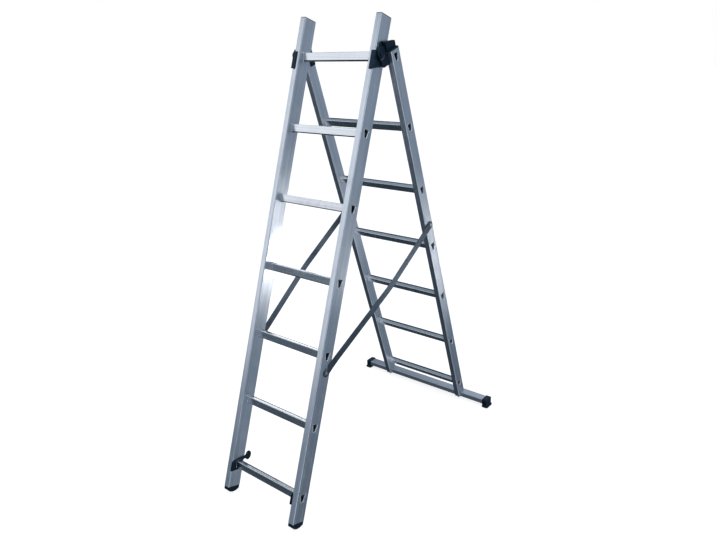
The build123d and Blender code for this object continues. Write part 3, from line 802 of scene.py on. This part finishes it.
# %% Turned rivets and bolts
def turned(name, centre, axis, profile, sides=40, flats=0):
    """Ring of each profile radius about the axis at its height; with flats, the radius is divided by the
    cosine of the angle to the nearest flat and cut off at the corner circle."""
    centre, axis = np.asarray(centre, float), np.asarray(axis, float)
    helper = np.array([1.0, 0, 0]) if abs(axis[0]) < 0.5 else np.array([0, 0, 1.0])
    first = np.cross(axis, helper)
    first /= np.linalg.norm(first)
    second = np.cross(axis, first)
    angle = np.linspace(0, 2 * np.pi, sides, endpoint=False)
    radius, height, limit = np.array([(*row, 0.0)[:3] for row in profile]).T[..., None]
    flat = np.ones_like(angle)
    if flats:
        flat = 1 / np.cos((angle + np.pi / flats) % (2 * np.pi / flats) - np.pi / flats)
    radius = np.where(limit > 0, np.minimum(radius * flat, limit), radius)
    rim = np.cos(angle)[:, None] * first + np.sin(angle)[:, None] * second
    return skin(name, centre + MM * (radius[..., None] * rim + height[..., None] * axis))


def dome(radius, low, high, steps=8):
    """Profile of a domed head: radius times cosine against rise times sine, over a short straight rim."""
    angle = np.linspace(0, np.pi / 2 - 0.02, steps)
    rim = 0.3 * (high - low)
    rise = low + rim + (high - low - rim) * np.sin(angle)
    return [(radius, low), *zip(radius * np.cos(angle), rise)]


rivet = [(2.5, -9.0), *dome(4.5, 0.0, 2.0)]
flange = [(4.0, -53.0), (4.0, 0.0), (10.0, 0.0), (10.0, 1.4), (9.4, 2.2), (8.2, 2.5)]
bolt = [*flange, (6.9, 2.51, 7.9), (6.9, 9.0, 7.9), (6.9, 9.9, 6.9)]
hook_face, hook_rivet_places = 167.0, ((-25.5, -8.0), (25.0, 21.8))
rear_centre, rear_back_face, bracket_rivet_level = REAR_HALF_WIDTH - STILE_WIDTH / 2, 26.0, 1690.0
bolt_ahead = 14.0
hook_heads, bracket_heads, bolt_heads = [], [], []
for side in SIDES.values():
    for back, up in hook_rivet_places:
        place = front.place(side * hook_face, back, up)
        hook_heads.append(turned("hook_rivet", place, (-side, 0, 0), rivet))
    place = rear.place(side * rear_centre, rear_back_face, bracket_rivet_level)
    bracket_heads.append(turned("bracket_rivet", place, rear.back, rivet))
    place = (side * rear_centre * MM, (bar_middle - bolt_ahead) * MM, bar_low.z)
    bolt_heads.append(turned("bolt", place, (0, 0, -1), bolt, 48, 6))
groups = (
    ("hook_rivet_heads", hook_heads, plastic_finish, "black_plastic", "hook_rivets"),
    ("bracket_rivet_heads", bracket_heads, zinc_finish, "bright_steel", "bracket_rivets"),
    ("stabiliser_bolt_heads", bolt_heads, zinc_finish, "bright_steel", "stabiliser_bolts"),
)
for name, heads, finish, slot, node in groups:
    fit(name, join(name, heads), finish, node)
print("turned", [len(group[1]) for group in groups], "heads")

# %% [markdown]
# ## Hinge pins and brace pivots
# These are turned in the same way, but their heights are given from the middle of the ladder, so that
# one profile serves both sides. The pins have a dished head, in black like the mouldings. The rivet that
# carries a brace and the stud that it hooks over both end in a square head, with its corners taken off.

# %% Hinge pins and brace pivots
pin = [(4.5, 198.4), (4.5, 203.2), (5.0, 203.3), (5.0, 214.3), (8.0, 214.3), (8.0, 215.7)]
pin += [(7.6, 216.5), (6.6, 217.1), (4.2, 217.3), (3.6, 216.7), (1.0, 216.4)]
pivot = [(3.4, 224.2), (3.4, 230.0), (8.0, 230.0), (8.0, 233.0), (4.0, 233.2), (4.0, 235.8)]
pivot += [(5.8, 235.8, 7.4), (5.8, 237.1, 7.4), (5.2, 237.8, 6.7)]
stud = [(3.4, 192.2), (3.4, 198.0), (4.0, 198.0), (4.0, 200.8)]
stud += [(5.8, 200.8, 7.4), (5.8, 202.1, 7.4), (5.2, 202.8, 6.7)]
pivot_place, stud_place = rear.place(0.0, 3.0, 949.0), front.place(0.0, 8.0, 496.0)
pivots = {
    "hinge_pin": (hinge, pin, 40, 0, plastic_finish, "black_plastic"),
    "brace_rivet": (pivot_place, pivot, 48, 4, zinc_finish, "bright_steel"),
    "brace_stud": (stud_place, stud, 48, 4, zinc_finish, "bright_steel"),
}
for name, side in SIDES.items():
    for title, (centre, profile, points, flats, finish, slot) in pivots.items():
        mesh = turned(title, centre, (side, 0, 0), profile, points, flats)
        fit(f"{title}_{name}_turned", mesh, finish, f"{title}_{name}")
print("turned", len(SIDES) * len(pivots), "pins and pivots")

# %% [markdown]
# ## Last update
# The scene's view layer is brought up to date once more at the end.

# %% Bring the scene up to date
bpy.context.view_layer.update()
